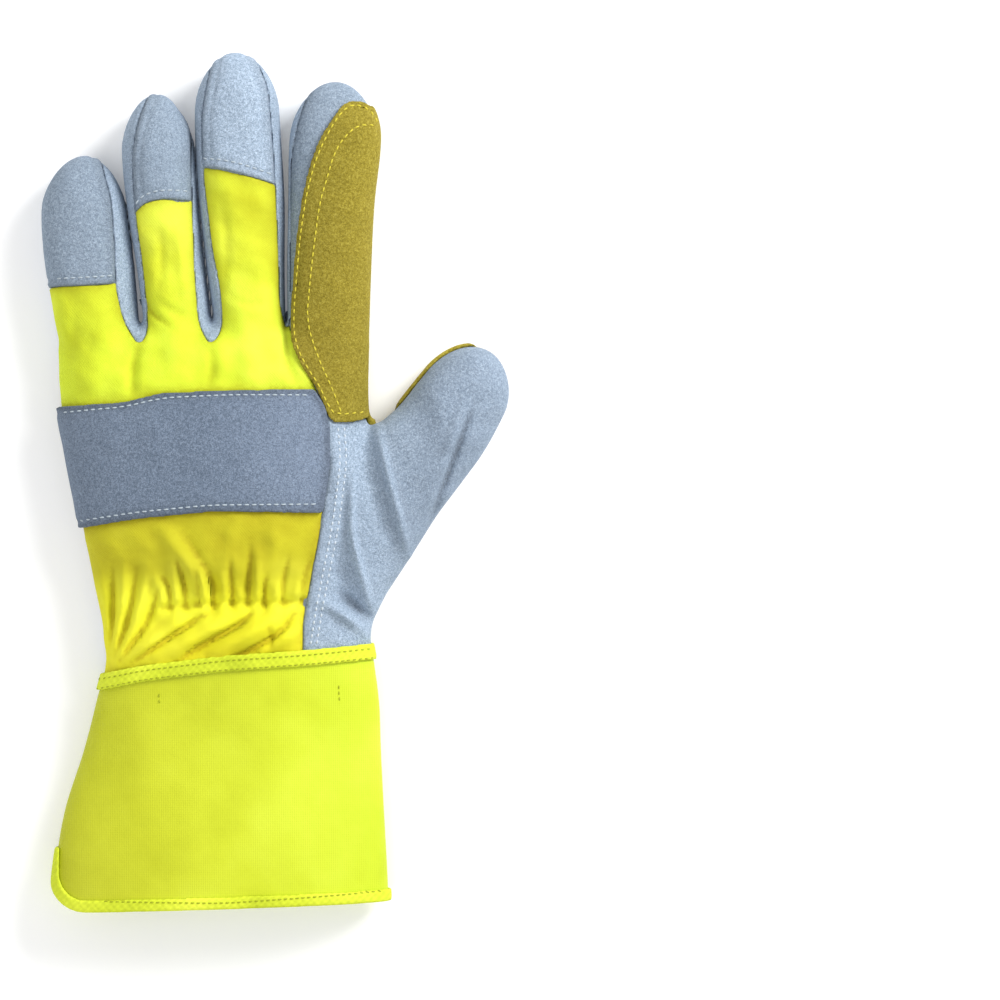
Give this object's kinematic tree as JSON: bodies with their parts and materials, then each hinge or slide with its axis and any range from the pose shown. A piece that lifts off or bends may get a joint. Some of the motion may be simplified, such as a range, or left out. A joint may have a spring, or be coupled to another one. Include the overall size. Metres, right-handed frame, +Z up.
{
  "type": "rigger work glove",
  "caption": "Left-hand double-palm rigger glove in grey split leather with yellow gathered back, mustard palm and flared safety cuff, lying palm down.",
  "frame": {"origin": "centre of the bounding box in plan, on the surface that the glove rests on", "axes": "+Y from the cuff to the fingertips, +X towards the thumb, +Z up out of the back of the hand"},
  "size_m": [0.1528, 0.282, 0.0285],
  "materials": {
    "grey_split_leather": "matt suede",
    "mustard_split_leather": "matt suede",
    "yellow_cotton": "matt twill",
    "yellow_rubberised_canvas": "rubberised, satin",
    "yellow_twill_tape": "twill tape, matt"
  },
  "bodies": {
    "root": {"palm_shell": "grey_split_leather", "finger_fronts": "grey_split_leather", "finger_seam_welt": "grey_split_leather", "fourchette_little_ring": "grey_split_leather", "fourchette_ring_middle": "grey_split_leather", "fourchette_middle_index": "grey_split_leather", "cap_little": "grey_split_leather", "cap_ring": "grey_split_leather", "cap_middle": "grey_split_leather", "index_back": "grey_split_leather", "thumb_back": "grey_split_leather", "back_fabric": "yellow_cotton", "knuckle_strap": "grey_split_leather", "palm_patch": "mustard_split_leather", "vein_patch": "grey_split_leather", "cuff_wall": "yellow_rubberised_canvas", "cuff_top_binding": "yellow_twill_tape", "cuff_hem_binding": "yellow_twill_tape"}
  },
  "joints": []
}
